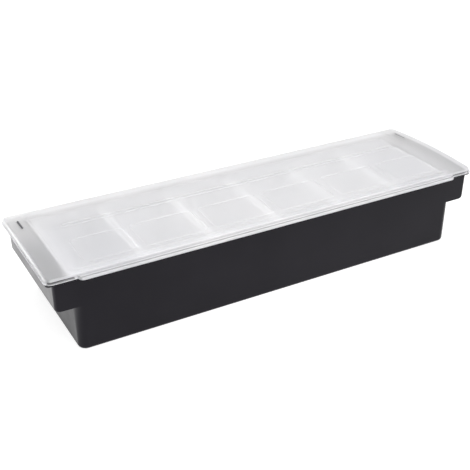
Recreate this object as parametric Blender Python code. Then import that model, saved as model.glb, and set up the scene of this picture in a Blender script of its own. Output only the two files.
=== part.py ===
"""Bar-top compartment food container, about half a metre long.

A black moulded base tray, stepped at both ends, carries six white lift-out
inserts on a seat inside its rim. A frosted lid with a crowned top is clipped
on two pins moulded at the back of the base and swings open upwards.
Metres, +Z up, the row of inserts along X, the finger flange towards -Y.
"""

import math

import bmesh
import bpy

# Overall: the lid carries the largest length and depth
LID_LENGTH = 0.5000
LID_DEPTH = 0.1460
BASE_HEIGHT = 0.0812

# Base tray: outside
LID_END_OVERHANG = 0.0010
LID_SIDE_OVERHANG = 0.0020
RIM_END_REACH = 0.0060
RIM_SIDE_REACH = 0.0010
OVERHANG_REACH = 0.0194
OVERHANG_HEIGHT = 0.0500
BASE_WALL = 0.0024
BASE_DEPTH_DRAFT = 0.0008
UPPER_END_DRAFT = 0.0004
UPPER_CORNER_RADIUS = 0.0032
UPPER_END_RADIUS = 0.0029
LOWER_END_DRAFT = 0.0006
LOWER_CORNER_RADIUS = 0.0085
FOOT_RADIUS = 0.0035

# Base tray: rim flange, upstand inside the lid, seat for the inserts, inside corners
RIM_THICKNESS = 0.0024
RIM_CORNER_RADIUS = 0.0040
RIM_CHAMFER = 0.0005
UPSTAND_HEIGHT = 0.0022
UPSTAND_THICKNESS = 0.0020
UPSTAND_GAP = 0.0004
UPSTAND_CHAMFER = 0.0003
UPSTAND_INNER_RADIUS = 0.0024
RECESS_WALL = 0.0020
RECESS_EASE = 0.0002
SEAT_HEIGHT = 0.0020
SEAT_SLOPE_HEIGHT = 0.0014
SEAT_WIDTH = 0.0020
SEAT_END_WIDTH = 0.0008
INNER_CORNER_RADIUS = 0.0028
INNER_END_RADIUS = 0.0015
INNER_LOWER_RADIUS = 0.0061
INNER_FOOT_RADIUS = 0.0020

# Inserts
INSERT_COUNT = 6
ROW_END_REACH = 0.0012
INSERT_SIDE_GAP = 0.0006
INSERT_RIM_WIDTH = 0.0043
INSERT_RIM_SHELF = 0.0033
INSERT_RIM_THICKNESS = 0.0016
INSERT_RIM_RADIUS = 0.0040
INSERT_RIM_CHAMFER = 0.0003
INSERT_RIM_BELOW_BASE = 0.0018
INSERT_MOUTH_RADIUS = 0.0075
INSERT_MOUTH_EASE = 0.0006
INSERT_HEIGHT = 0.0605
INSERT_WALL = 0.0015
INSERT_FLOOR = 0.0018
INSERT_FOOT_RADIUS = 0.0055
INSERT_TAPER_DEG = 3.5
INSERT_RADIUS_LOSS = 0.0012
SEAT_GAP = 0.0003
SEAT_SIDE_GAP = 0.0006

# Lid: lip, skirt and crowned top
LID_CORNER_RADIUS = 0.0075
LID_REST_GAP = 0.0003
LID_WALL = 0.0018
LIP_WIDTH = 0.0014
LIP_HEIGHT = 0.0009
LIP_CHAMFER = 0.0003
LID_RISE = 0.0079
LID_SKIRT_DRAFT = 0.0002
LID_EDGE_RADIUS = 0.0016
LID_INNER_EDGE_RADIUS = 0.0008
CROWN_DROP = 0.0032
PANEL_END_STRIP = 0.0230
PANEL_SIDE_STRIP = 0.0075
PANEL_RISE = 0.0012
PANEL_SLOPE = 0.0009
PANEL_CORNER_RADIUS = 0.0120
END_STOP_SHARES = (-0.8, -0.6, -0.4, -0.2, 0.0, 0.2, 0.4, 0.6, 0.8)

# Lid: double rib, bead frames over the compartments, marks at the ends
RIB_END_MARGIN = 0.0235
RIB_SPREAD = 0.0060
RIB_PLACE = 0.0163
RIB_RADIUS = 0.0024
FRAME_END_MARGIN = 0.0190
FRAME_SPACING = 0.0080
FRAME_DEPTH = 0.0435
FRAME_FRONT_MARGIN = 0.0065
FRAME_RADIUS = 0.0050
BEAD_WIDTH = 0.0022
BEAD_TOP_SHARE = 0.4
BEAD_HEIGHT = 0.0006
FRAME_STOP_SHARES = (-0.5, 0.0, 0.5)
ROOT_DEPTH = 0.0005
ROUND_END_SHARE = 0.9
MARK_LENGTH = 0.0200
MARK_WIDTH = 0.0025
MARK_END_INSET = 0.0120
MARK_BACK_INSET = 0.0305
MARK_RECESS = 0.0005
MARK_CLEAR = 0.0030

# Lid: finger flange along the front
FLANGE_SETBACK = 0.0305
FLANGE_REACH = 0.0056
FLANGE_THICKNESS = 0.0030
FLANGE_LIFT = 0.0002
FLANGE_CORNER_RADIUS = 0.0050
FLANGE_CHAMFER = 0.0004
FLANGE_RIDGE = 0.0011
FLANGE_DISH_SLOPE = 0.0007
FLANGE_DISH = 0.0014
FLANGE_ROOT = 0.0009
FLANGE_DISH_ROOT = 0.0003

# Hinge: moulded pins on the base, open clips on the lid
HINGE_SETBACK = 0.0850
HINGE_DROP = 0.0030
CLIP_WIDTH = 0.0240
CLIP_RADIUS = 0.0035
CLIP_SIDE_GAP = 0.0005
CLIP_MOUTH_DEG = 43.0
PIN_RADIUS = 0.0016
PIN_GAP = 0.0003
EAR_THICKNESS = 0.0040
EAR_RADIUS = 0.0034
EAR_ROOT_HEIGHT = 0.0120
EAR_ROOT_DROP = 0.0012
EAR_TOP_DEG = 125.0
EAR_FOOT_DEG = -60.0
ARM_THICKNESS = 0.0018
ARM_LIFT = 0.0003
ARM_ROOT = 0.0022
ARM_HALF_WIDTH = 0.0014
ARM_SHOULDER = 0.0008
ARM_SINK = 0.0006

# Facets of the round forms
CORNER_STEPS = 6
EDGE_STEPS = 4
BEAD_STEPS = 4
PIN_STEPS = 24
CLIP_STEPS = 20
EAR_STEPS = 10

# Lengths and depths that follow, from the lid inwards
RIM_LENGTH = LID_LENGTH - LID_END_OVERHANG * 2
RIM_DEPTH = LID_DEPTH - LID_SIDE_OVERHANG * 2
UPPER_LENGTH = RIM_LENGTH - RIM_END_REACH * 2
BASE_DEPTH = RIM_DEPTH - RIM_SIDE_REACH * 2
LOWER_LENGTH = UPPER_LENGTH - OVERHANG_REACH * 2
RECESS_HALF_DEPTH = BASE_DEPTH / 2 - RECESS_WALL
INSERT_PITCH = (LOWER_LENGTH + ROW_END_REACH * 2) / INSERT_COUNT
INSERT_RIM_DEPTH = (RECESS_HALF_DEPTH - SEAT_SIDE_GAP) * 2
INSERT_MOUTH_WIDTH = INSERT_PITCH - INSERT_SIDE_GAP - INSERT_RIM_WIDTH * 2
INSERT_MOUTH_DEPTH = INSERT_RIM_DEPTH - INSERT_RIM_SHELF * 2
SKIRT_HALF_LENGTH = LID_LENGTH / 2 - LIP_WIDTH
SKIRT_HALF_DEPTH = LID_DEPTH / 2 - LIP_WIDTH
LID_INNER_RADIUS = LID_CORNER_RADIUS - LIP_WIDTH - LID_WALL
PANEL_LENGTH = LID_LENGTH - PANEL_END_STRIP * 2
PANEL_DEPTH = LID_DEPTH - PANEL_SIDE_STRIP * 2
RIB_HALF_LENGTH = PANEL_LENGTH / 2 - RIB_END_MARGIN
FRAME_ROW_HALF_LENGTH = PANEL_LENGTH / 2 - FRAME_END_MARGIN
FRAME_PLACE = FRAME_FRONT_MARGIN + FRAME_DEPTH / 2 - PANEL_DEPTH / 2
MARK_PLACE_X = LID_LENGTH / 2 - MARK_END_INSET
MARK_PLACE_Y = LID_DEPTH / 2 - MARK_BACK_INSET
FLANGE_LENGTH = LID_LENGTH - FLANGE_SETBACK * 2
HINGE_PLACE_X = LID_LENGTH / 2 - HINGE_SETBACK
HINGE_Y = LID_DEPTH / 2 + FLANGE_REACH - CLIP_RADIUS

# Heights that follow
RIM_UNDERSIDE = BASE_HEIGHT - RIM_THICKNESS
INSERT_RIM_TOP = BASE_HEIGHT - INSERT_RIM_BELOW_BASE
INSERT_RIM_UNDERSIDE = INSERT_RIM_TOP - INSERT_RIM_THICKNESS
SEAT_TOP = INSERT_RIM_UNDERSIDE - SEAT_GAP
LIP_UNDERSIDE = BASE_HEIGHT + LID_REST_GAP
LIP_TOP = LIP_UNDERSIDE + LIP_HEIGHT
LID_TOP = LIP_UNDERSIDE + LID_RISE
HINGE_Z = BASE_HEIGHT - HINGE_DROP


def arc(center_x, center_y, radius, start_deg, end_deg, steps):
    """Points on an arc in a plane, both ends included."""
    points = []
    for step in range(steps + 1):
        angle = math.radians(start_deg + (end_deg - start_deg) * step / steps)
        points.append((center_x + radius * math.cos(angle), center_y + radius * math.sin(angle)))
    return points


def outline(half_x, half_y, radius, end_shares=(), line_stops=(), steps=CORNER_STEPS):
    """Rounded rectangle, counter-clockwise from the front right corner.

    end_shares puts points on the two short sides, as shares of their straight
    half. line_stops puts points on the front and back lines, by their x.
    """
    straight = half_y - radius
    right_side = [(half_x, straight * share) for share in end_shares]
    left_side = [(-half_x, straight * share) for share in reversed(end_shares)]
    back_line = [(x, half_y) for x in reversed(line_stops)]
    front_line = [(x, -half_y) for x in line_stops]
    points = arc(half_x - radius, radius - half_y, radius, -90, 0, steps)
    points += right_side
    points += arc(half_x - radius, half_y - radius, radius, 0, 90, steps)
    points += back_line
    points += arc(radius - half_x, half_y - radius, radius, 90, 180, steps)
    points += left_side
    points += arc(radius - half_x, radius - half_y, radius, 180, 270, steps)
    points += front_line
    return points


def crown(y):
    """Height of the lid's plain top at a place across its depth."""
    share = y / (LID_DEPTH / 2)
    return LID_TOP - CROWN_DROP * share * share


def panel_top(y):
    """Height of the raised centre panel."""
    return crown(y) + PANEL_RISE


def add_ring(bm, points, height):
    """A ring of vertices at one height, or on a height that follows y."""
    if callable(height):
        return [bm.verts.new((x, y, height(y))) for x, y in points]
    return [bm.verts.new((x, y, height)) for x, y in points]


def bridge(bm, first, second):
    """Faces between two rings with the same number of vertices."""
    count = len(first)
    for index in range(count):
        after = (index + 1) % count
        bm.faces.new((first[index], first[after], second[after], second[index]))


def bridge_all(bm, rings):
    """Faces between each ring and the next one."""
    for first, second in zip(rings, rings[1:]):
        bridge(bm, first, second)


def strip_cap(bm, ring, side_count):
    """Closes a ring that is mirrored left to right with strips along X."""
    right = ring[:side_count]
    left = list(reversed(ring[side_count:side_count * 2]))
    for index in range(side_count - 1):
        bm.faces.new((right[index], right[index + 1], left[index + 1], left[index]))


def prism(bm, profile, start_x, end_x):
    """Solid with one profile in the YZ plane, drawn along X."""
    first = [bm.verts.new((start_x, y, z)) for y, z in profile]
    second = [bm.verts.new((end_x, y, z)) for y, z in profile]
    bridge(bm, first, second)
    bm.faces.new(first)
    bm.faces.new(second)


def make_material(name, color, roughness, alpha=1.0):
    """Principled material with one colour."""
    material = bpy.data.materials.new(name)
    material.use_nodes = True
    shader = material.node_tree.nodes["Principled BSDF"]
    shader.inputs["Base Color"].default_value = (color[0], color[1], color[2], 1.0)
    shader.inputs["Roughness"].default_value = roughness
    shader.inputs["Alpha"].default_value = alpha
    return material


def finish(bm, name, material, origin=(0, 0, 0)):
    """Turns the mesh being built into a named object with its own origin."""
    bmesh.ops.recalc_face_normals(bm, faces=bm.faces)
    bmesh.ops.translate(bm, verts=bm.verts, vec=[-value for value in origin])
    mesh = bpy.data.meshes.new(name)
    bm.to_mesh(mesh)
    bm.free()
    if material is not None:
        mesh.materials.append(material)
    item = bpy.data.objects.new(name, mesh)
    item.location = origin
    bpy.context.scene.collection.objects.link(item)
    return item


def combine(target, tool, operation):
    """Adds a hidden solid to a piece, or takes it away."""
    tool.hide_render = True
    tool.display_type = "WIRE"
    modifier = target.modifiers.new(tool.name, "BOOLEAN")
    modifier.operation = operation
    modifier.solver = "EXACT"
    modifier.object = tool


def base_half_depth(z):
    """Outside half depth of the base, drafted from rim to foot."""
    return BASE_DEPTH / 2 - BASE_DEPTH_DRAFT * (1 - z / RIM_UNDERSIDE)


def lower_half_length(z):
    """Outside half length of the narrow lower body."""
    return LOWER_LENGTH / 2 - LOWER_END_DRAFT * (1 - z / OVERHANG_HEIGHT)


def upper_half_length(z):
    """Outside half length of the overhanging upper body."""
    share = (z - OVERHANG_HEIGHT) / (RIM_UNDERSIDE - OVERHANG_HEIGHT)
    return UPPER_LENGTH / 2 + UPPER_END_DRAFT * share


def stepped_level(bm, upper_points, lower_points, z):
    """The level face where the narrow lower body meets the longer upper one.

    The two outlines share their front and back lines, so the four points that
    lie on them are used by both rings. Each end is one flat C-shaped face.
    """
    upper = add_ring(bm, upper_points, z)
    arc_count = CORNER_STEPS + 1
    upper_right = upper[:arc_count * 2]
    back_right = upper[arc_count * 2]
    back_left = upper[arc_count * 2 + 1]
    upper_left = upper[arc_count * 2 + 2:arc_count * 4 + 2]
    front_left = upper[arc_count * 4 + 2]
    front_right = upper[arc_count * 4 + 3]
    fresh = add_ring(bm, lower_points[1:arc_count * 2 - 1], z)
    lower_right = [front_right] + fresh + [back_right]
    fresh = add_ring(bm, lower_points[arc_count * 2 + 1:arc_count * 4 - 1], z)
    lower_left = [back_left] + fresh + [front_left]
    bm.faces.new(lower_right + list(reversed(upper_right)))
    bm.faces.new(lower_left + list(reversed(upper_left)))
    return upper, lower_right + lower_left


def build_base(material):
    """Base tray as one closed shell, from the foot outside to the floor inside."""
    bm = bmesh.new()
    outer_stop = LOWER_LENGTH / 2 - LOWER_CORNER_RADIUS
    inner_stop = LOWER_LENGTH / 2 - BASE_WALL - INNER_LOWER_RADIUS
    outer_stops = (-outer_stop, outer_stop)
    inner_stops = (-inner_stop, inner_stop)

    foot_rings = []
    for step in range(EDGE_STEPS + 1):
        angle = math.radians(90 * step / EDGE_STEPS)
        inset = FOOT_RADIUS * (1 - math.sin(angle))
        z = FOOT_RADIUS * (1 - math.cos(angle))
        half_x = lower_half_length(z) - inset
        half_y = base_half_depth(z) - inset
        foot_rings.append(add_ring(bm, outline(half_x, half_y, LOWER_CORNER_RADIUS - inset), z))
    bm.faces.new(foot_rings[0])
    bridge_all(bm, foot_rings)

    half_y = base_half_depth(OVERHANG_HEIGHT)
    narrow = outline(LOWER_LENGTH / 2, half_y, LOWER_CORNER_RADIUS)
    long_half = UPPER_LENGTH / 2 - UPPER_END_RADIUS
    long = outline(long_half, half_y, UPPER_CORNER_RADIUS, line_stops=outer_stops)
    upper_ring, lower_ring = stepped_level(bm, long, narrow, OVERHANG_HEIGHT)
    bridge(bm, foot_rings[-1], lower_ring)

    rings = [upper_ring]
    for step in range(1, EDGE_STEPS + 1):
        angle = math.radians(90 * step / EDGE_STEPS)
        inset = UPPER_END_RADIUS * (1 - math.sin(angle))
        z = OVERHANG_HEIGHT + UPPER_END_RADIUS * (1 - math.cos(angle))
        half_x = upper_half_length(z) - inset
        points = outline(half_x, base_half_depth(z), UPPER_CORNER_RADIUS, line_stops=outer_stops)
        rings.append(add_ring(bm, points, z))
    wall_half_x = upper_half_length(RIM_UNDERSIDE)
    points = outline(wall_half_x, BASE_DEPTH / 2, UPPER_CORNER_RADIUS, line_stops=outer_stops)
    rings.append(add_ring(bm, points, RIM_UNDERSIDE))

    rim_half_x = RIM_LENGTH / 2
    rim_half_y = RIM_DEPTH / 2
    rim_levels = (
        (RIM_CHAMFER, RIM_UNDERSIDE),
        (0, RIM_UNDERSIDE + RIM_CHAMFER),
        (0, BASE_HEIGHT - RIM_CHAMFER),
        (RIM_CHAMFER, BASE_HEIGHT),
    )
    for inset, z in rim_levels:
        radius = RIM_CORNER_RADIUS - inset
        points = outline(rim_half_x - inset, rim_half_y - inset, radius, line_stops=outer_stops)
        rings.append(add_ring(bm, points, z))

    upstand_top = BASE_HEIGHT + UPSTAND_HEIGHT
    upstand_x = SKIRT_HALF_LENGTH - LID_WALL - UPSTAND_GAP
    upstand_y = SKIRT_HALF_DEPTH - LID_WALL - UPSTAND_GAP
    upstand_radius = LID_INNER_RADIUS - UPSTAND_GAP
    upstand_inner_x = upstand_x - UPSTAND_THICKNESS
    upstand_inner_y = RECESS_HALF_DEPTH + RECESS_EASE
    ease = UPSTAND_CHAMFER
    upstand_levels = (
        (upstand_x, upstand_y, upstand_radius, BASE_HEIGHT),
        (upstand_x, upstand_y, upstand_radius, upstand_top - ease),
        (upstand_x - ease, upstand_y - ease, upstand_radius - ease, upstand_top),
        (upstand_inner_x + ease, upstand_inner_y + ease, UPSTAND_INNER_RADIUS + ease, upstand_top),
        (upstand_inner_x, upstand_inner_y, UPSTAND_INNER_RADIUS, upstand_top - ease),
        (upstand_inner_x, upstand_inner_y, UPSTAND_INNER_RADIUS, BASE_HEIGHT),
    )
    for half_x, half_y, radius, z in upstand_levels:
        points = outline(half_x, half_y, radius, line_stops=outer_stops)
        rings.append(add_ring(bm, points, z))

    inner_half_x = UPPER_LENGTH / 2 - BASE_WALL
    seat_half_y = RECESS_HALF_DEPTH - SEAT_WIDTH
    slope_z = SEAT_TOP - SEAT_HEIGHT
    wall_z = slope_z - SEAT_SLOPE_HEIGHT
    seat_half_x = inner_half_x - SEAT_END_WIDTH
    inside_levels = (
        (inner_half_x, RECESS_HALF_DEPTH, BASE_HEIGHT - RIM_CHAMFER),
        (inner_half_x, RECESS_HALF_DEPTH, SEAT_TOP),
        (seat_half_x, seat_half_y, SEAT_TOP),
        (seat_half_x, seat_half_y, slope_z),
        (inner_half_x, base_half_depth(wall_z) - BASE_WALL, wall_z),
    )
    for half_x, half_y, z in inside_levels:
        points = outline(half_x, half_y, INNER_CORNER_RADIUS, line_stops=inner_stops)
        rings.append(add_ring(bm, points, z))

    ledge_z = OVERHANG_HEIGHT + BASE_WALL
    for step in range(EDGE_STEPS):
        angle = math.radians(90 * step / EDGE_STEPS)
        inset = INNER_END_RADIUS * (1 - math.cos(angle))
        z = ledge_z + INNER_END_RADIUS * (1 - math.sin(angle))
        half_y = base_half_depth(z) - BASE_WALL
        points = outline(inner_half_x - inset, half_y, INNER_CORNER_RADIUS, line_stops=inner_stops)
        rings.append(add_ring(bm, points, z))

    half_y = base_half_depth(ledge_z) - BASE_WALL
    long = outline(inner_half_x - INNER_END_RADIUS, half_y, INNER_CORNER_RADIUS, line_stops=inner_stops)
    narrow = outline(LOWER_LENGTH / 2 - BASE_WALL, half_y, INNER_LOWER_RADIUS)
    upper_ring, lower_ring = stepped_level(bm, long, narrow, ledge_z)
    rings.append(upper_ring)
    bridge_all(bm, rings)

    floor_rings = [lower_ring]
    for step in range(EDGE_STEPS + 1):
        angle = math.radians(90 * step / EDGE_STEPS)
        inset = INNER_FOOT_RADIUS * (1 - math.cos(angle))
        z = BASE_WALL + INNER_FOOT_RADIUS * (1 - math.sin(angle))
        half_x = lower_half_length(z) - BASE_WALL - inset
        half_y = base_half_depth(z) - BASE_WALL - inset
        floor_rings.append(add_ring(bm, outline(half_x, half_y, INNER_LOWER_RADIUS - inset), z))
    bridge_all(bm, floor_rings)
    bm.faces.new(floor_rings[-1])
    base = finish(bm, "base_tray", material)

    root_y = BASE_DEPTH / 2 - BASE_WALL / 2
    ear_profile = [(root_y, BASE_HEIGHT - EAR_ROOT_DROP)]
    ear_profile += arc(HINGE_Y, HINGE_Z, EAR_RADIUS, EAR_TOP_DEG, EAR_FOOT_DEG, EAR_STEPS)
    ear_profile += [(root_y, BASE_HEIGHT - EAR_ROOT_HEIGHT)]
    ear_start = CLIP_WIDTH / 2 + CLIP_SIDE_GAP
    ear_end = ear_start + EAR_THICKNESS
    pin_profile = arc(HINGE_Y, HINGE_Z, PIN_RADIUS, 0, 360, PIN_STEPS)[:-1]
    ears = bmesh.new()
    pins = bmesh.new()
    for side in (-1, 1):
        place = HINGE_PLACE_X * side
        prism(ears, ear_profile, place + ear_start, place + ear_end)
        prism(ears, ear_profile, place - ear_end, place - ear_start)
        pin_half = (ear_start + ear_end) / 2
        prism(pins, pin_profile, place - pin_half, place + pin_half)
    combine(base, finish(ears, "base_ears_form", None), "UNION")
    combine(base, finish(pins, "base_pins_form", None), "UNION")
    return base


def build_insert(number, material):
    """One lift-out insert, as a closed shell with a flat rim."""
    bm = bmesh.new()
    lean = math.tan(math.radians(INSERT_TAPER_DEG))
    floor_z = INSERT_RIM_TOP - INSERT_HEIGHT
    body_height = INSERT_RIM_UNDERSIDE - floor_z

    def wall_ring(wall, z, inset):
        """Outline of the tapering wall at a height, outside or inside."""
        depth = INSERT_RIM_UNDERSIDE - z
        half_x = INSERT_MOUTH_WIDTH / 2 + wall - depth * lean - inset
        half_y = INSERT_MOUTH_DEPTH / 2 + wall - depth * lean - inset
        radius = INSERT_MOUTH_RADIUS + wall - INSERT_RADIUS_LOSS * depth / body_height - inset
        return outline(half_x, half_y, radius)

    rings = []
    for step in range(EDGE_STEPS + 1):
        angle = math.radians(90 * step / EDGE_STEPS)
        inset = INSERT_FOOT_RADIUS * (1 - math.sin(angle))
        z = floor_z + INSERT_FOOT_RADIUS * (1 - math.cos(angle))
        rings.append(add_ring(bm, wall_ring(INSERT_WALL, z, inset), z))
    rings.append(add_ring(bm, wall_ring(INSERT_WALL, INSERT_RIM_UNDERSIDE, 0), INSERT_RIM_UNDERSIDE))

    rim_half_x = (INSERT_PITCH - INSERT_SIDE_GAP) / 2
    rim_half_y = INSERT_RIM_DEPTH / 2
    rim_levels = (
        (0, INSERT_RIM_UNDERSIDE),
        (0, INSERT_RIM_TOP - INSERT_RIM_CHAMFER),
        (INSERT_RIM_CHAMFER, INSERT_RIM_TOP),
    )
    for inset, z in rim_levels:
        points = outline(rim_half_x - inset, rim_half_y - inset, INSERT_RIM_RADIUS - inset)
        rings.append(add_ring(bm, points, z))

    for step in range(EDGE_STEPS + 1):
        angle = math.radians(90 * step / EDGE_STEPS)
        outset = INSERT_MOUTH_EASE * (1 - math.sin(angle))
        z = INSERT_RIM_TOP - INSERT_MOUTH_EASE * (1 - math.cos(angle))
        half_x = INSERT_MOUTH_WIDTH / 2 + outset
        half_y = INSERT_MOUTH_DEPTH / 2 + outset
        rings.append(add_ring(bm, outline(half_x, half_y, INSERT_MOUTH_RADIUS + outset), z))

    inner_radius = INSERT_FOOT_RADIUS - INSERT_WALL
    inner_floor = floor_z + INSERT_FLOOR
    for step in range(EDGE_STEPS + 1):
        angle = math.radians(90 * step / EDGE_STEPS)
        inset = inner_radius * (1 - math.cos(angle))
        z = inner_floor + inner_radius * (1 - math.sin(angle))
        rings.append(add_ring(bm, wall_ring(0, z, inset), z))
    bm.faces.new(rings[0])
    bridge_all(bm, rings)
    bm.faces.new(rings[-1])

    place = INSERT_PITCH * (number - (INSERT_COUNT + 1) / 2)
    bmesh.ops.translate(bm, verts=bm.verts, vec=(place, 0, 0))
    return finish(bm, "insert_" + str(number), material, (place, 0, INSERT_RIM_UNDERSIDE))


def lid_outline(half_x, half_y, radius):
    """Outline of the lid, with points on its ends that follow the crown."""
    return outline(half_x, half_y, radius, end_shares=END_STOP_SHARES)


def flange_outline(inset, back_y):
    """Plan of the finger flange: rounded in front, straight against the lid."""
    half_x = FLANGE_LENGTH / 2 - inset
    front_y = LID_DEPTH / 2 + FLANGE_REACH - inset
    radius = FLANGE_CORNER_RADIUS - inset
    points = arc(half_x - radius, radius - front_y, radius, -90, 0, CORNER_STEPS)
    points += [(half_x, back_y), (-half_x, back_y)]
    points += arc(radius - half_x, radius - front_y, radius, 180, 270, CORNER_STEPS)
    return points


def build_lid_shell():
    """Lid shell: lip, skirt, crowned top with a raised panel, and inside."""
    bm = bmesh.new()
    side_count = CORNER_STEPS * 2 + 2 + len(END_STOP_SHARES)
    half_x = LID_LENGTH / 2
    half_y = LID_DEPTH / 2
    lip_levels = (
        (LIP_CHAMFER, LIP_UNDERSIDE),
        (0, LIP_UNDERSIDE + LIP_CHAMFER),
        (0, LIP_TOP - LIP_CHAMFER),
        (LIP_CHAMFER, LIP_TOP),
        (LIP_WIDTH, LIP_TOP),
    )
    outer = []
    for inset, z in lip_levels:
        points = lid_outline(half_x - inset, half_y - inset, LID_CORNER_RADIUS - inset)
        outer.append(add_ring(bm, points, z))
    for step in range(EDGE_STEPS + 1):
        angle = math.radians(90 * step / EDGE_STEPS)
        inset = LIP_WIDTH + LID_SKIRT_DRAFT + LID_EDGE_RADIUS * (1 - math.cos(angle))
        drop = LID_EDGE_RADIUS * (1 - math.sin(angle))
        points = lid_outline(half_x - inset, half_y - inset, LID_CORNER_RADIUS - inset)
        outer.append(add_ring(bm, points, lambda y: crown(y) - drop))
    panel_x = PANEL_LENGTH / 2
    panel_y = PANEL_DEPTH / 2
    edge = PANEL_SLOPE
    points = lid_outline(panel_x + edge, panel_y + edge, PANEL_CORNER_RADIUS + edge)
    outer.append(add_ring(bm, points, crown))
    points = lid_outline(panel_x, panel_y, PANEL_CORNER_RADIUS)
    outer.append(add_ring(bm, points, panel_top))
    bridge_all(bm, outer)
    strip_cap(bm, outer[-1], side_count)

    wall_x = SKIRT_HALF_LENGTH - LID_WALL
    wall_y = SKIRT_HALF_DEPTH - LID_WALL
    wall_radius = LID_INNER_RADIUS
    inner = [add_ring(bm, lid_outline(wall_x, wall_y, wall_radius), LIP_UNDERSIDE)]
    for step in range(EDGE_STEPS + 1):
        angle = math.radians(90 * step / EDGE_STEPS)
        inset = LID_SKIRT_DRAFT + LID_INNER_EDGE_RADIUS * (1 - math.cos(angle))
        drop = LID_WALL + LID_INNER_EDGE_RADIUS * (1 - math.sin(angle))
        points = lid_outline(wall_x - inset, wall_y - inset, wall_radius - inset)
        inner.append(add_ring(bm, points, lambda y: crown(y) - drop))
    panel_wall = LID_WALL / 2
    inner_edge = edge - panel_wall
    points = lid_outline(panel_x + inner_edge, panel_y + inner_edge, PANEL_CORNER_RADIUS + inner_edge)
    inner.append(add_ring(bm, points, lambda y: crown(y) - LID_WALL))
    points = lid_outline(panel_x - panel_wall, panel_y - panel_wall, PANEL_CORNER_RADIUS - panel_wall)
    inner.append(add_ring(bm, points, lambda y: panel_top(y) - LID_WALL))
    bridge_all(bm, inner)
    strip_cap(bm, inner[-1], side_count)
    bridge(bm, outer[0], inner[0])
    return bm


def build_lid_flange():
    """Finger flange with a dished top and a raised front edge."""
    bm = bmesh.new()
    bottom = LIP_UNDERSIDE + FLANGE_LIFT
    top = bottom + FLANGE_THICKNESS
    root = FLANGE_ROOT - SKIRT_HALF_DEPTH
    dish_root = FLANGE_DISH_ROOT - SKIRT_HALF_DEPTH
    levels = (
        (FLANGE_CHAMFER, bottom, root),
        (0, bottom + FLANGE_CHAMFER, root),
        (0, top - FLANGE_CHAMFER, root),
        (FLANGE_CHAMFER, top, root),
        (FLANGE_RIDGE, top, dish_root),
        (FLANGE_RIDGE + FLANGE_DISH_SLOPE, top - FLANGE_DISH, dish_root),
    )
    rings = []
    for inset, z, back_y in levels:
        rings.append(add_ring(bm, flange_outline(inset, back_y), z))
    bm.faces.new(rings[0])
    bridge_all(bm, rings)
    bm.faces.new(rings[-1])
    return bm


def bead_loop(bm, start_x, end_x, middle_y, depth, radius):
    """A closed bead on the panel, along a rounded rectangle."""
    half_bead = BEAD_WIDTH / 2
    half_top = half_bead * BEAD_TOP_SHARE
    section = ((half_bead, -ROOT_DEPTH), (half_top, BEAD_HEIGHT))
    section += ((-half_top, BEAD_HEIGHT), (-half_bead, -ROOT_DEPTH))
    middle_x = (start_x + end_x) / 2
    rings = []
    for outset, lift in section:
        half_x = (end_x - start_x) / 2 + outset
        half_y = depth / 2 + outset
        points = outline(half_x, half_y, radius + outset, FRAME_STOP_SHARES, (), BEAD_STEPS)
        points = [(x + middle_x, y + middle_y) for x, y in points]
        rings.append(add_ring(bm, points, lambda y: panel_top(y) + lift))
    bridge_all(bm, rings + [rings[0]])


def build_lid_beads():
    """Double rib along the back, and a bead frame over each compartment."""
    bm = bmesh.new()
    bead_loop(bm, -RIB_HALF_LENGTH, RIB_HALF_LENGTH, RIB_PLACE, RIB_SPREAD, RIB_RADIUS)
    half_gap = FRAME_SPACING / 2
    for number in range(INSERT_COUNT):
        left_x = INSERT_PITCH * (number - INSERT_COUNT / 2) + half_gap
        right_x = left_x + INSERT_PITCH - FRAME_SPACING
        start_x = max(left_x, -FRAME_ROW_HALF_LENGTH)
        end_x = min(right_x, FRAME_ROW_HALF_LENGTH)
        bead_loop(bm, start_x, end_x, FRAME_PLACE, FRAME_DEPTH, FRAME_RADIUS)
    return bm


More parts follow.
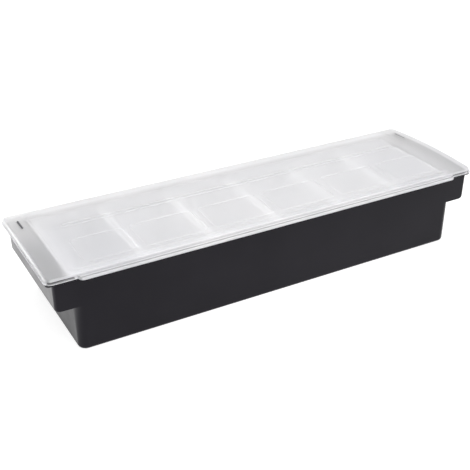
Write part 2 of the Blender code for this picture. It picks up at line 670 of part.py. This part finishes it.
def build_lid(material):
    """Lid with its finger flange, beads, clips and end marks, on the hinge axis."""
    axis = (0, HINGE_Y, HINGE_Z)
    lid = finish(build_lid_shell(), "lid", material, axis)
    combine(lid, finish(build_lid_flange(), "lid_flange_form", None), "UNION")

    bore = PIN_RADIUS + PIN_GAP
    start_deg = CLIP_MOUTH_DEG - 90
    end_deg = 270 - CLIP_MOUTH_DEG
    clip_profile = arc(HINGE_Y, HINGE_Z, CLIP_RADIUS, start_deg, end_deg, CLIP_STEPS)
    clip_profile += arc(HINGE_Y, HINGE_Z, bore, end_deg, start_deg, CLIP_STEPS)
    arm_bottom = LIP_UNDERSIDE + ARM_LIFT
    arm_top = LIP_UNDERSIDE + ARM_THICKNESS
    arm_low = HINGE_Z + CLIP_RADIUS - ARM_SHOULDER
    arm_start = LID_DEPTH / 2 - ARM_ROOT
    arm_profile = (
        (arm_start, arm_bottom),
        (HINGE_Y - ARM_HALF_WIDTH, arm_low),
        (HINGE_Y + ARM_HALF_WIDTH, arm_low),
        (HINGE_Y + ARM_HALF_WIDTH + ARM_SINK, arm_low + ARM_SHOULDER),
        (HINGE_Y + ARM_HALF_WIDTH, arm_top),
        (arm_start, arm_top),
    )
    clips = bmesh.new()
    arms = bmesh.new()
    for side in (-1, 1):
        place = HINGE_PLACE_X * side
        prism(clips, clip_profile, place - CLIP_WIDTH / 2, place + CLIP_WIDTH / 2)
        arm_half = CLIP_WIDTH / 2 - ARM_SINK
        prism(arms, arm_profile, place - arm_half, place + arm_half)
    combine(lid, finish(arms, "lid_arms_form", None), "UNION")
    combine(lid, finish(clips, "lid_clips_form", None), "UNION")
    combine(lid, finish(build_lid_beads(), "lid_beads_form", None), "UNION")

    marks = bmesh.new()
    for side in (-1, 1):
        half_x = MARK_WIDTH / 2
        points = outline(half_x, MARK_LENGTH / 2, half_x * ROUND_END_SHARE)
        points = [(x + MARK_PLACE_X * side, y + MARK_PLACE_Y) for x, y in points]
        low = add_ring(marks, points, lambda y: crown(y) - MARK_RECESS)
        high = add_ring(marks, points, lambda y: crown(y) + MARK_CLEAR)
        bridge(marks, low, high)
        marks.faces.new(low)
        marks.faces.new(high)
    combine(lid, finish(marks, "lid_marks_form", None), "DIFFERENCE")
    return lid


def main():
    """Builds every piece of the container."""
    for item in list(bpy.data.objects):
        bpy.data.objects.remove(item, do_unlink=True)
    black = make_material("black moulded plastic", (0.045, 0.045, 0.050), 0.42)
    white = make_material("white moulded plastic", (0.86, 0.87, 0.87), 0.35)
    frosted = make_material("frosted clear plastic", (0.84, 0.86, 0.86), 0.45, 0.55)
    build_base(black)
    for number in range(1, INSERT_COUNT + 1):
        build_insert(number, white)
    build_lid(frosted)


main()
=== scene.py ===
"""Looks of the compartment food container: black tray, white inserts, frosted lid."""

import math

import bpy
from mathutils import Matrix, Vector


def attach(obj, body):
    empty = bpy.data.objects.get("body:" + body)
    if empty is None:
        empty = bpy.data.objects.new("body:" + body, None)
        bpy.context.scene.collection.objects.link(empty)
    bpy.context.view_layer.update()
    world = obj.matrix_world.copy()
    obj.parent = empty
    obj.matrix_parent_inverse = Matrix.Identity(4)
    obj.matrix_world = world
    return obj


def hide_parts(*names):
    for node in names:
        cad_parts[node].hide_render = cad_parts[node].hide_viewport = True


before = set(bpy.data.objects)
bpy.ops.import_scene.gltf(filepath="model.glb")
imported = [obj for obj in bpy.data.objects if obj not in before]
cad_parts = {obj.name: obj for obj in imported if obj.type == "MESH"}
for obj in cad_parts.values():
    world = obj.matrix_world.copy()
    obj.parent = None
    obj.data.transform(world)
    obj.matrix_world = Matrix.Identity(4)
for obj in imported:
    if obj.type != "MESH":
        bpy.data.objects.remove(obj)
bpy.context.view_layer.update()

MM = 0.001
INSERT_NAMES = ["insert_%d" % number for number in range(1, 7)]

# Meshes, in metres: how near points are welded, and how short a leftover edge may be
WELD_DISTANCE = 0.00001
SHORTEST_EDGE = 0.00002
# Faces that meet at a larger angle than this keep a crease between them
CREASE_ANGLE = math.radians(32)
# The lid's long faces are cut every 10 mm
LID_CUTS = [10 * MM * step for step in range(-24, 25)]

# The printed dashes: width, length and thickness, place of the right one, slope of the lid there
MARK_SIZE = (1.6 * MM, 19.2 * MM, 0.2 * MM)
MARK_PLACE = (237.4 * MM, 42.9 * MM, 87.93 * MM)
MARK_TILT = math.radians(2.9)
# Their rounded ends: the radius as a share of the width, and the steps round each corner
MARK_ROUNDING = 0.45
MARK_STEPS = 6

# How strongly each plastic bends light
ABS_IOR = 1.53
POLYPROPYLENE_IOR = 1.49

# The floor is a square this many metres wide
FLOOR_WIDTH = 12
# The oval where the floor's glow is turned up, painted light that lifts the object's shadow, as
# half its length and width in metres
SHADOW_LIFT_OVAL = (0.55, 0.40)

# The camera: focal length and picture width in pixels, and the sensor's width in mm
FOCAL_LENGTH_PX = 856.2
PICTURE_WIDTH_PX = 470
SENSOR_WIDTH = 36
# Its angles, the point it looks at and how far off that is: all found from the object's outline
CAMERA_YAW = math.radians(28.895)
CAMERA_PITCH = math.radians(28.386)
CAMERA_ROLL = math.radians(-0.380)
CAMERA_TARGET = (-23.797, -11.104, 45.0)
CAMERA_DISTANCE = 918.47 * MM
# How far it sees, in metres
FAR_CLIP = 50


# Colours and nodes

def linear(hex_colour):
    """Turns an sRGB hex colour into the linear colour that the shaders take."""
    channels = []
    for start in (1, 3, 5):
        value = int(hex_colour[start:start + 2], 16) / 255
        if value <= 0.04045:
            channels.append(value / 12.92)
        else:
            channels.append(((value + 0.055) / 1.055) ** 2.4)
    return (channels[0], channels[1], channels[2], 1.0)


def grey(level):
    """A grey for a ramp that steers a plain number."""
    return (level, level, level, 1.0)


def add_node(tree, kind, settings=None, values=None, links=None):
    """Adds a node, sets its properties and inputs, and links what feeds it."""
    node = tree.nodes.new(kind)
    for name, value in (settings or {}).items():
        setattr(node, name, value)
    for name, value in (values or {}).items():
        node.inputs[name].default_value = value
    for name, source in (links or {}).items():
        tree.links.new(source, node.inputs[name])
    return node


def new_material(name):
    """A material, its node tree, its Principled shader and the object's own coordinates."""
    material = bpy.data.materials.new(name)
    material.use_nodes = True
    tree = material.node_tree
    place = add_node(tree, "ShaderNodeTexCoord").outputs["Object"]
    return material, tree, tree.nodes["Principled BSDF"], place


def pattern(tree, coordinates, size_mm, detail):
    """A noise pattern whose blotches are about size_mm across."""
    return add_node(
        tree,
        "ShaderNodeTexNoise",
        values={"Scale": 1 / (size_mm * MM), "Detail": detail},
        links={"Vector": coordinates},
    ).outputs["Fac"]


def add_ramp(tree, source, stops):
    """A colour that follows a number, given by stops of a place and a colour."""
    node = add_node(tree, "ShaderNodeValToRGB", links={"Fac": source})
    elements = node.color_ramp.elements
    while len(elements) < len(stops):
        elements.new(1.0)
    for element, (place, colour) in zip(elements, stops):
        element.position = place
        element.color = colour
    return node.outputs["Color"]


def add_bump(tree, shader, height, strength, depth_mm):
    """Gives a shader a relief about depth_mm deep."""
    bump = add_node(
        tree,
        "ShaderNodeBump",
        values={"Strength": strength, "Distance": depth_mm * MM},
        links={"Height": height},
    )
    tree.links.new(bump.outputs["Normal"], shader.inputs["Normal"])


def stretch_place(tree, place, scale):
    """Coordinates with another scale along each axis."""
    return add_node(
        tree,
        "ShaderNodeMapping",
        values={"Scale": scale},
        links={"Vector": place},
    ).outputs["Vector"]


def along(tree, place, start, end, most, way="SMOOTHSTEP"):
    """A number that rises from 0 at start to its most at end."""
    return add_node(
        tree,
        "ShaderNodeMapRange",
        settings={"interpolation_type": way},
        values={"From Min": start, "From Max": end, "To Min": 0.0, "To Max": most},
        links={"Value": place},
    ).outputs["Result"]


def combine(tree, operation, first, second):
    """Two numbers joined by a sum, a product or the like."""
    node = add_node(tree, "ShaderNodeMath", settings={"operation": operation})
    tree.links.new(first, node.inputs[0])
    tree.links.new(second, node.inputs[1])
    return node.outputs["Value"]


def make_black_tray_plastic():
    """Black ABS, injection moulded in a finely spark-eroded mould.

    Near black with a soft satin gloss. Seen square on it is a cool charcoal,
    and at a flat angle it mirrors the pale floor as a light grey.
    """
    material, tree, shader, place = new_material("black ABS, fine moulded grain")
    shader.inputs["IOR"].default_value = ABS_IOR
    shader.inputs["Specular IOR Level"].default_value = 0.14
    shader.inputs["Specular Tint"].default_value = linear("#f3effb")
    # Uneven cooling of a large moulding: the black drifts a little over 60 mm.
    drift = pattern(tree, place, size_mm=60, detail=2)
    colour = add_ramp(tree, drift, [(0.35, linear("#111014")), (0.65, linear("#151418"))])
    tree.links.new(colour, shader.inputs["Base Color"])
    # Handling polishes the grain in patches of about 25 mm.
    polish = pattern(tree, place, size_mm=25, detail=3)
    roughness = add_ramp(tree, polish, [(0.3, grey(0.30)), (0.7, grey(0.36))])
    tree.links.new(roughness, shader.inputs["Roughness"])
    # The real grain is about 0.1 mm, too fine to show, so it is drawn at 0.5 mm.
    grain = pattern(tree, place, size_mm=0.5, detail=2)
    add_bump(tree, shader, grain, strength=0.12, depth_mm=0.05)
    return material


def make_white_insert_plastic():
    """White polypropylene, moulded smooth for wiping clean.

    A cool white with a waxy half gloss and faint flow marks up the walls.
    """
    material, tree, shader, place = new_material("white polypropylene, smooth moulded")
    shader.inputs["IOR"].default_value = POLYPROPYLENE_IOR
    # The white drifts a little over 35 mm.
    drift = pattern(tree, place, size_mm=35, detail=2)
    colour = add_ramp(tree, drift, [(0.35, linear("#ebebee")), (0.65, linear("#f0f0f2"))])
    tree.links.new(colour, shader.inputs["Base Color"])
    # Flow marks: long streaks up the walls, 3 mm apart, that dull the gloss.
    upward = stretch_place(tree, place, (1.0, 1.0, 0.08))
    streaks = pattern(tree, upward, size_mm=3, detail=2)
    roughness = add_ramp(tree, streaks, [(0.3, grey(0.32)), (0.7, grey(0.36))])
    tree.links.new(roughness, shader.inputs["Roughness"])
    add_bump(tree, shader, streaks, strength=0.02, depth_mm=0.03)
    return material


# The frosted lid: its looks change from place to place, given in mm from the middle of the part

# Ramps over the lid's depth run from this far in front of its middle to as far behind it.
RAMP_REACH = 80.0
# The lid from front to back: place, how densely it covers, how much light it swallows.
LID_ACROSS = [
    (-78.0, 0.65, 0.40),
    (-77.3, 0.00, 0.85),
    (-74.2, 0.00, 0.85),
    # Painted light: the front wall is made denser, and so lighter.
    (-73.2, 0.80, 0.40),
    (-71.5, 0.80, 0.40),
    (-70.0, 0.00, 0.46),
    (44.0, 0.00, 0.46),
    # Painted light: denser, and so lighter, toward the back.
    (58.0, 0.60, 0.42),
]
# Painted shade lines just behind the two beads of the rib: place behind the middle, how much light
# they swallow.
RIB_SHADE_LINES = [
    (14.2, 0.0),
    (15.0, 0.3),
    (16.2, 0.3),
    (17.0, 0.0),
    (20.6, 0.0),
    (21.4, 0.24),
    (22.2, 0.24),
    (23.0, 0.0),
]

# The crown: height of the panel's middle, the fall from there to the edge, how far off that is.
PANEL_TOP = 90.6 * MM
CROWN_DROP = 3.2 * MM
CROWN_REACH = 73.0 * MM
# The beads over the panel: from which height to which they turn milky, and by how much. The extra
# milk is partly a painted highlight along the beads.
BEAD_START = 0.02 * MM
BEAD_END = 0.2 * MM
BEAD_MILK_AND_HIGHLIGHT = 0.29

# Each group of three below is a stretch: where a change starts, where it is full, how strong it is.
# The lid hides at least this share of what is under it, and more toward both ends. At the left one
# that also grows toward the back, painted light that makes the lid lighter there.
LEAST_COVER = 0.42
COVER_RIGHT_END = (204, 216, 0.2)
COVER_RIGHT_EDGE = (236, 243, 0.7)
COVER_LEFT_EDGE = (-246.5, -248.6, 1.0)
COVER_LEFT_END = (-228, -234, 1.0)
PAINTED_LIGHT_TO_BACK = (-45, 50, 0.35)
# The thin line over the lip at the two front corners: its limits, and how clear the lid is there.
LINE_TO_FRONT = (-69, -71, 1.0)
LINE_TO_LEFT = (-221.5, -223, 1.0)
LINE_TO_RIGHT = (221.5, 223, 1.0)
LINE_LOWER_LIMIT = (81.9, 82.2, 1.0)
LINE_UPPER_LIMIT = (84.2, 83.6, 1.0)
LINE_CLEARNESS = 0.9
# The ends of the painted shade lines behind the rib's beads.
SHADE_LINES_LEFT_END = (-228, -225, 1.0)
SHADE_LINES_RIGHT_END = (228, 225, 1.0)
# The painted highlight over the first inserts' rims, a light band: in front and at the left, each
# with its limits along the depth, and where it ends at the left.
BAND_FRONT = (80, -180, 0.32)
BAND_FRONT_LIMITS = ((-64.5, -66.5, 1.0), (-70.8, -69.8, 1.0))
BAND_SIDE = (-215, -220, 0.22)
BAND_SIDE_LIMITS = ((65, 5, 1.0), (-70.8, -69.8, 1.0))
BAND_LEFT_END = (-232, -229, 1.0)
# A little more light is swallowed toward both ends.
END_SWALLOW = ((214, 243, 0.09), (-228, -234, 0.04))
# Painted shade: greyer toward the two front corners, where less light gets under the lid.
SHADE_LEFT = (-90, -190, 0.85)
SHADE_RIGHT = (110, 180, 0.6)
SHADE_TO_FRONT = (60, -25, 1.0)


def fade(tree, place, stretch, way="SMOOTHSTEP"):
    """A number that follows a stretch of the lid, given in mm."""
    start, end, most = stretch
    return along(tree, place, start * MM, end * MM, most, way)


def over_depth(tree, depth, stops):
    """A number that changes over the lid's depth, by stops of a place in mm and a level."""
    return add_ramp(
        tree,
        depth,
        [((y + RAMP_REACH) / (2 * RAMP_REACH), grey(level)) for y, level in stops],
    )


def lid_cover(tree, axes, depth):
    """How much the lid hides: more at its ends, its back and its flange.

    Walls lie behind each other at the ends and the flange. The extra cover on the front wall and
    toward the back is painted light: it hides more of the dark under the lid, which turns it
    lighter there.
    """
    # At the left end, painted light: denser, and so lighter, toward the back.
    dense = combine(
        tree,
        "MULTIPLY",
        fade(tree, axes["X"], COVER_LEFT_END),
        fade(tree, axes["Y"], PAINTED_LIGHT_TO_BACK),
    )
    for part in (
        over_depth(tree, depth, [(y, cover) for y, cover, _ in LID_ACROSS]),
        fade(tree, axes["X"], COVER_RIGHT_END),
        fade(tree, axes["X"], COVER_RIGHT_EDGE),
        fade(tree, axes["X"], COVER_LEFT_EDGE),
    ):
        dense = combine(tree, "MAXIMUM", dense, part)
    return add_node(
        tree,
        "ShaderNodeMapRange",
        values={"To Min": LEAST_COVER, "To Max": 1.0},
        links={"Value": dense},
    ).outputs["Result"]


def lip_line(tree, axes):
    """A thin line just over the lip, where the black rim shows past the flange."""
    line = fade(tree, axes["Y"], LINE_TO_FRONT)
    tips = combine(
        tree,
        "MAXIMUM",
        fade(tree, axes["X"], LINE_TO_LEFT),
        fade(tree, axes["X"], LINE_TO_RIGHT),
    )
    for part in (
        tips,
        fade(tree, axes["Z"], LINE_LOWER_LIMIT, "LINEAR"),
        fade(tree, axes["Z"], LINE_UPPER_LIMIT, "LINEAR"),
    ):
        line = combine(tree, "MULTIPLY", line, part)
    return along(tree, line, 0.0, 1.0, LINE_CLEARNESS)


def bead_milk_and_highlight(tree, axes):
    """The beads stand over the crown of the panel: thicker there, and so milkier; the extra milk is
    also a painted highlight, which makes them show as light lines.
    """
    square = combine(tree, "MULTIPLY", axes["Y"], axes["Y"])
    drop = along(tree, square, 0.0, CROWN_REACH**2, CROWN_DROP, "LINEAR")
    height = combine(tree, "ADD", axes["Z"], drop)
    return along(tree, height, PANEL_TOP + BEAD_START, PANEL_TOP + BEAD_END, BEAD_MILK_AND_HIGHLIGHT)


def rib_shade_lines(tree, axes, depth):
    """Painted shade: the lid turns greyer in thin lines just behind the two beads of the rib."""
    shade_span = combine(
        tree,
        "MULTIPLY",
        fade(tree, axes["X"], SHADE_LINES_LEFT_END),
        fade(tree, axes["X"], SHADE_LINES_RIGHT_END),
    )
    return combine(tree, "MULTIPLY", shade_span, over_depth(tree, depth, RIB_SHADE_LINES))


def rim_highlight(tree, axes):
    """Painted highlight: milkier, and so lighter, in a band over the rims of the first inserts, in
    front and at the left end.
    """
    front = fade(tree, axes["X"], BAND_FRONT)
    for limit in BAND_FRONT_LIMITS:
        front = combine(tree, "MULTIPLY", front, fade(tree, axes["Y"], limit))
    side = fade(tree, axes["X"], BAND_SIDE)
    for limit in BAND_SIDE_LIMITS:
        side = combine(tree, "MULTIPLY", side, fade(tree, axes["Y"], limit))
    band = combine(tree, "MAXIMUM", front, side)
    return combine(tree, "MULTIPLY", band, fade(tree, axes["X"], BAND_LEFT_END))


def lid_swallow(tree, axes, depth):
    """How much light the plastic swallows: more turns it greyer, less turns it milkier."""
    swallow = over_depth(tree, depth, [(y, share) for y, _, share in LID_ACROSS])
    swallow = combine(tree, "SUBTRACT", swallow, bead_milk_and_highlight(tree, axes))
    swallow = combine(tree, "ADD", swallow, rib_shade_lines(tree, axes, depth))
    swallow = combine(tree, "SUBTRACT", swallow, rim_highlight(tree, axes))
    for stretch in END_SWALLOW:
        swallow = combine(tree, "ADD", swallow, fade(tree, axes["X"], stretch))
    return swallow


def lid_colour(tree, axes, cloud):
    """Clouded white, with painted shade: greyer toward the lid's front corners, where less light
    gets under it.
    """
    white = add_ramp(tree, cloud, [(0.3, linear("#f3f3f4")), (0.7, linear("#f9f8f9"))])
    ends = combine(
        tree,
        "MAXIMUM",
        fade(tree, axes["X"], SHADE_LEFT),
        fade(tree, axes["X"], SHADE_RIGHT),
    )
    corners = combine(tree, "MULTIPLY", ends, fade(tree, axes["Y"], SHADE_TO_FRONT))
    # The grey mixed in toward the front corners is painted shade.
    return add_node(
        tree,
        "ShaderNodeMixRGB",
        values={"Color2": linear("#e8e8eb")},
        links={"Fac": corners, "Color1": white},
    ).outputs["Color"]


def make_frosted_lid_plastic():
    """Natural polypropylene, frosted by a matt mould.

    Milky and see-through at once: what lies just under it shows as soft bands,
    and the dark end pockets turn the ends of the lid grey.
    """
    material, tree, shader, place = new_material("natural polypropylene, frosted")
    shader.inputs["IOR"].default_value = POLYPROPYLENE_IOR
    axes = add_node(tree, "ShaderNodeSeparateXYZ", links={"Vector": place}).outputs
    depth = along(tree, axes["Y"], -RAMP_REACH * MM, RAMP_REACH * MM, 1.0, "LINEAR")
    cover = combine(tree, "SUBTRACT", lid_cover(tree, axes, depth), lip_line(tree, axes))
    tree.links.new(cover, shader.inputs["Alpha"])
    tree.links.new(lid_swallow(tree, axes, depth), shader.inputs["Transmission Weight"])
    # Clouding where the melt cooled unevenly, in patches of about 45 mm.
    cloud = pattern(tree, place, size_mm=45, detail=3)
    tree.links.new(lid_colour(tree, axes, cloud), shader.inputs["Base Color"])
    roughness = add_ramp(tree, cloud, [(0.3, grey(0.38)), (0.7, grey(0.44))])
    tree.links.new(roughness, shader.inputs["Roughness"])
    # The frost is a 0.05 mm grain, drawn at 0.4 mm so that it shows at all.
    frost = pattern(tree, place, size_mm=0.4, detail=2)
    add_bump(tree, shader, frost, strength=0.06, depth_mm=0.04)
    return material


def make_mark_ink():
    """Dark grey pad-printing ink, matt and a little uneven."""
    material, tree, shader, place = new_material("pad-printing ink, dark grey")
    shader.inputs["Roughness"].default_value = 0.7
    # The pad lays the ink on thinner in places, 2 mm across.
    layer = pattern(tree, place, size_mm=2, detail=3)
    colour = add_ramp(tree, layer, [(0.35, linear("#525256")), (0.7, linear("#6e6e72"))])
    tree.links.new(colour, shader.inputs["Base Color"])
    return material


def make_light_table():
    """Opal acrylic of a light table, matt and lit from below, with painted light under the object,
    so shadows stay faint.
    """
    material, tree, shader, place = new_material("opal acrylic, matt, lit from below")
    shader.inputs["Emission Color"].default_value = linear("#ffffff")
    shader.inputs["Roughness"].default_value = 0.9
    shader.inputs["Specular IOR Level"].default_value = 0.1
    # Painted light: the glow is turned up in an oval under the object, where its shadow would fall.
    oval = stretch_place(tree, place, (1 / SHADOW_LIFT_OVAL[0], 1 / SHADOW_LIFT_OVAL[1], 1.0))
    middle = add_node(
        tree,
        "ShaderNodeTexGradient",
        settings={"gradient_type": "SPHERICAL"},
        links={"Vector": oval},
    )
    shadow_lifting_glow = add_ramp(tree, middle.outputs["Fac"], [(0.3, grey(0.62)), (0.85, grey(0.88))])
    tree.links.new(shadow_lifting_glow, shader.inputs["Emission Strength"])
    # The acrylic's tone drifts a little over 400 mm.
    drift = pattern(tree, place, size_mm=400, detail=2)
    colour = add_ramp(tree, drift, [(0.3, linear("#b2b2b2")), (0.7, linear("#b6b6b6"))])
    tree.links.new(colour, shader.inputs["Base Color"])
    return material


# Pieces

def select_only(piece):
    """Makes one piece the only selected and the active one."""
    bpy.ops.object.select_all(action="DESELECT")
    piece.select_set(True)
    bpy.context.view_layer.objects.active = piece


def welded_copy(node_name, piece_name):
    """A welded copy of a CAD node, as a new piece that is still undressed."""
    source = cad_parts[node_name]
    piece = bpy.data.objects.new(piece_name, source.data.copy())
    bpy.context.scene.collection.objects.link(piece)
    piece.data.materials.clear()
    select_only(piece)
    bpy.ops.object.mode_set(mode="EDIT")
    bpy.ops.mesh.select_all(action="SELECT")
    bpy.ops.mesh.remove_doubles(threshold=WELD_DISTANCE)
    bpy.ops.mesh.dissolve_degenerate(threshold=SHORTEST_EDGE)
    bpy.ops.object.mode_set(mode="OBJECT")
    return piece


def cut_across(piece, positions):
    """Cuts the long faces of a piece at places along X, so that they shade evenly."""
    select_only(piece)
    bpy.ops.object.mode_set(mode="EDIT")
    for x in positions:
        bpy.ops.mesh.select_all(action="SELECT")
        bpy.ops.mesh.bisect(plane_co=(x, 0, 0), plane_no=(1, 0, 0))
    bpy.ops.object.mode_set(mode="OBJECT")


def shade(piece):
    """Smooth shading, with a crease wherever two faces meet at a large angle."""
    select_only(piece)
    bpy.ops.object.shade_smooth_by_angle(angle=CREASE_ANGLE)
    weighted = piece.modifiers.new("even normals", "WEIGHTED_NORMAL")
    weighted.keep_sharp = True
    bpy.ops.object.modifier_apply(modifier=weighted.name)


def dress_tray(material):
    """The black tray."""
    tray = welded_copy("base_tray", "tray_shell")
    shade(tray)
    tray.data.materials.append(material)
    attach(tray, "base")
    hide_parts("base_tray")


def dress_inserts(material):
    """The six white inserts."""
    for name in INSERT_NAMES:
        pan = welded_copy(name, name + "_pan")
        shade(pan)
        pan.data.materials.append(material)
        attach(pan, name)
        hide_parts(name)


def dress_lid(material):
    """The frosted lid."""
    cover = welded_copy("lid", "lid_cover")
    cut_across(cover, LID_CUTS)
    shade(cover)
    cover.data.materials.append(material)
    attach(cover, "lid")
    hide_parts("lid")


def print_marks(material):
    """A short printed dash in the recess at each end of the lid, near the back."""
    for name, side in (("left", -1), ("right", 1)):
        bpy.ops.object.select_all(action="DESELECT")
        bpy.ops.mesh.primitive_cube_add(size=1)
        dash = bpy.context.object
        dash.name = "end_mark_" + name
        bpy.ops.object.mode_set(mode="EDIT")
        bpy.ops.mesh.select_all(action="SELECT")
        bpy.ops.transform.resize(value=MARK_SIZE, center_override=(0, 0, 0))
        bpy.ops.mesh.select_all(action="DESELECT")
        bpy.ops.object.mode_set(mode="OBJECT")
        # Only the four upright edges are rounded.
        for edge in dash.data.edges:
            ends = [dash.data.vertices[index].co for index in edge.vertices]
            edge.select = abs(ends[0].z - ends[1].z) > MARK_SIZE[2] / 2
        bpy.ops.object.mode_set(mode="EDIT")
        bpy.ops.mesh.select_mode(type="EDGE")
        bpy.ops.mesh.bevel(
            offset=MARK_SIZE[0] * MARK_ROUNDING, segments=MARK_STEPS, affect="EDGES"
        )
        bpy.ops.mesh.select_all(action="SELECT")
        bpy.ops.transform.rotate(value=MARK_TILT, orient_axis="X", center_override=(0, 0, 0))
        bpy.ops.transform.translate(value=(MARK_PLACE[0] * side, MARK_PLACE[1], MARK_PLACE[2]))
        bpy.ops.mesh.normals_make_consistent(inside=False)
        bpy.ops.object.mode_set(mode="OBJECT")
        bpy.ops.object.shade_smooth_by_angle(angle=CREASE_ANGLE)
        dash.data.materials.append(material)
        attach(dash, "lid")


# Floor, light and camera

def lay_floor(material):
    """The wide level top of the light table."""
    bpy.ops.mesh.primitive_plane_add(size=FLOOR_WIDTH)
    floor = bpy.context.object
    floor.name = "table_top"
    floor.data.materials.append(material)


def add_softbox(name, place, target, size, power):
    """A rectangular softbox that shines at a point."""
    data = bpy.data.lights.new(name, "AREA")
    data.shape = "RECTANGLE"
    data.size, data.size_y = size
    data.energy = power
    box = bpy.data.objects.new(name, data)
    box.location = place
    box.rotation_euler = (Vector(target) - box.location).to_track_quat("-Z", "Y").to_euler()
    bpy.context.scene.collection.objects.link(box)


def light_studio():
    """Even white surroundings, a broad light overhead, and a flat panel on the table."""
    world = bpy.data.worlds.new("white studio")
    bpy.context.scene.world = world
    world.use_nodes = True
    backdrop = world.node_tree.nodes["Background"]
    backdrop.inputs["Color"].default_value = linear("#ffffff")
    backdrop.inputs["Strength"].default_value = 1.0
    add_softbox(
        "front_softbox", place=(0.3, -0.7, 1.9), target=(0, 0, 0.08), size=(2.6, 1.6), power=25
    )
    # It shines straight up beside the left end, which lights the tray's end face.
    add_softbox(
        "left_floor_panel",
        place=(-0.431, 0.2, 0.001),
        target=(-0.431, 0.2, 1.0),
        size=(0.338, 0.7),
        power=1.0,
    )


def place_camera():
    """The photograph's viewpoint."""
    data = bpy.data.cameras.new("camera")
    data.sensor_fit = "HORIZONTAL"
    data.sensor_width = SENSOR_WIDTH
    data.lens = FOCAL_LENGTH_PX / PICTURE_WIDTH_PX * SENSOR_WIDTH
    data.clip_end = FAR_CLIP
    camera = bpy.data.objects.new("camera", data)
    bpy.context.scene.collection.objects.link(camera)
    flat = math.cos(CAMERA_PITCH)
    forward = Vector(
        (math.sin(CAMERA_YAW) * flat, math.cos(CAMERA_YAW) * flat, -math.sin(CAMERA_PITCH))
    )
    right = Vector((math.cos(CAMERA_YAW), -math.sin(CAMERA_YAW), 0))
    up = right.cross(forward)
    tilted_right = right * math.cos(CAMERA_ROLL) + up * math.sin(CAMERA_ROLL)
    tilted_up = up * math.cos(CAMERA_ROLL) - right * math.sin(CAMERA_ROLL)
    place = Vector(CAMERA_TARGET) * MM - forward * CAMERA_DISTANCE
    columns = Matrix((tilted_right, tilted_up, -forward)).transposed()
    camera.matrix_world = Matrix.Translation(place) @ columns.to_4x4()
    bpy.context.scene.camera = camera


def corners(box):
    """A box's two corners as plain lists of numbers."""
    return [[float(value) for value in corner] for corner in box]


bpy.context.scene.view_settings.view_transform = "Standard"
place_camera()
light_studio()
lay_floor(make_light_table())
dress_tray(make_black_tray_plastic())
dress_inserts(make_white_insert_plastic())
dress_lid(make_frosted_lid_plastic())
print_marks(make_mark_ink())
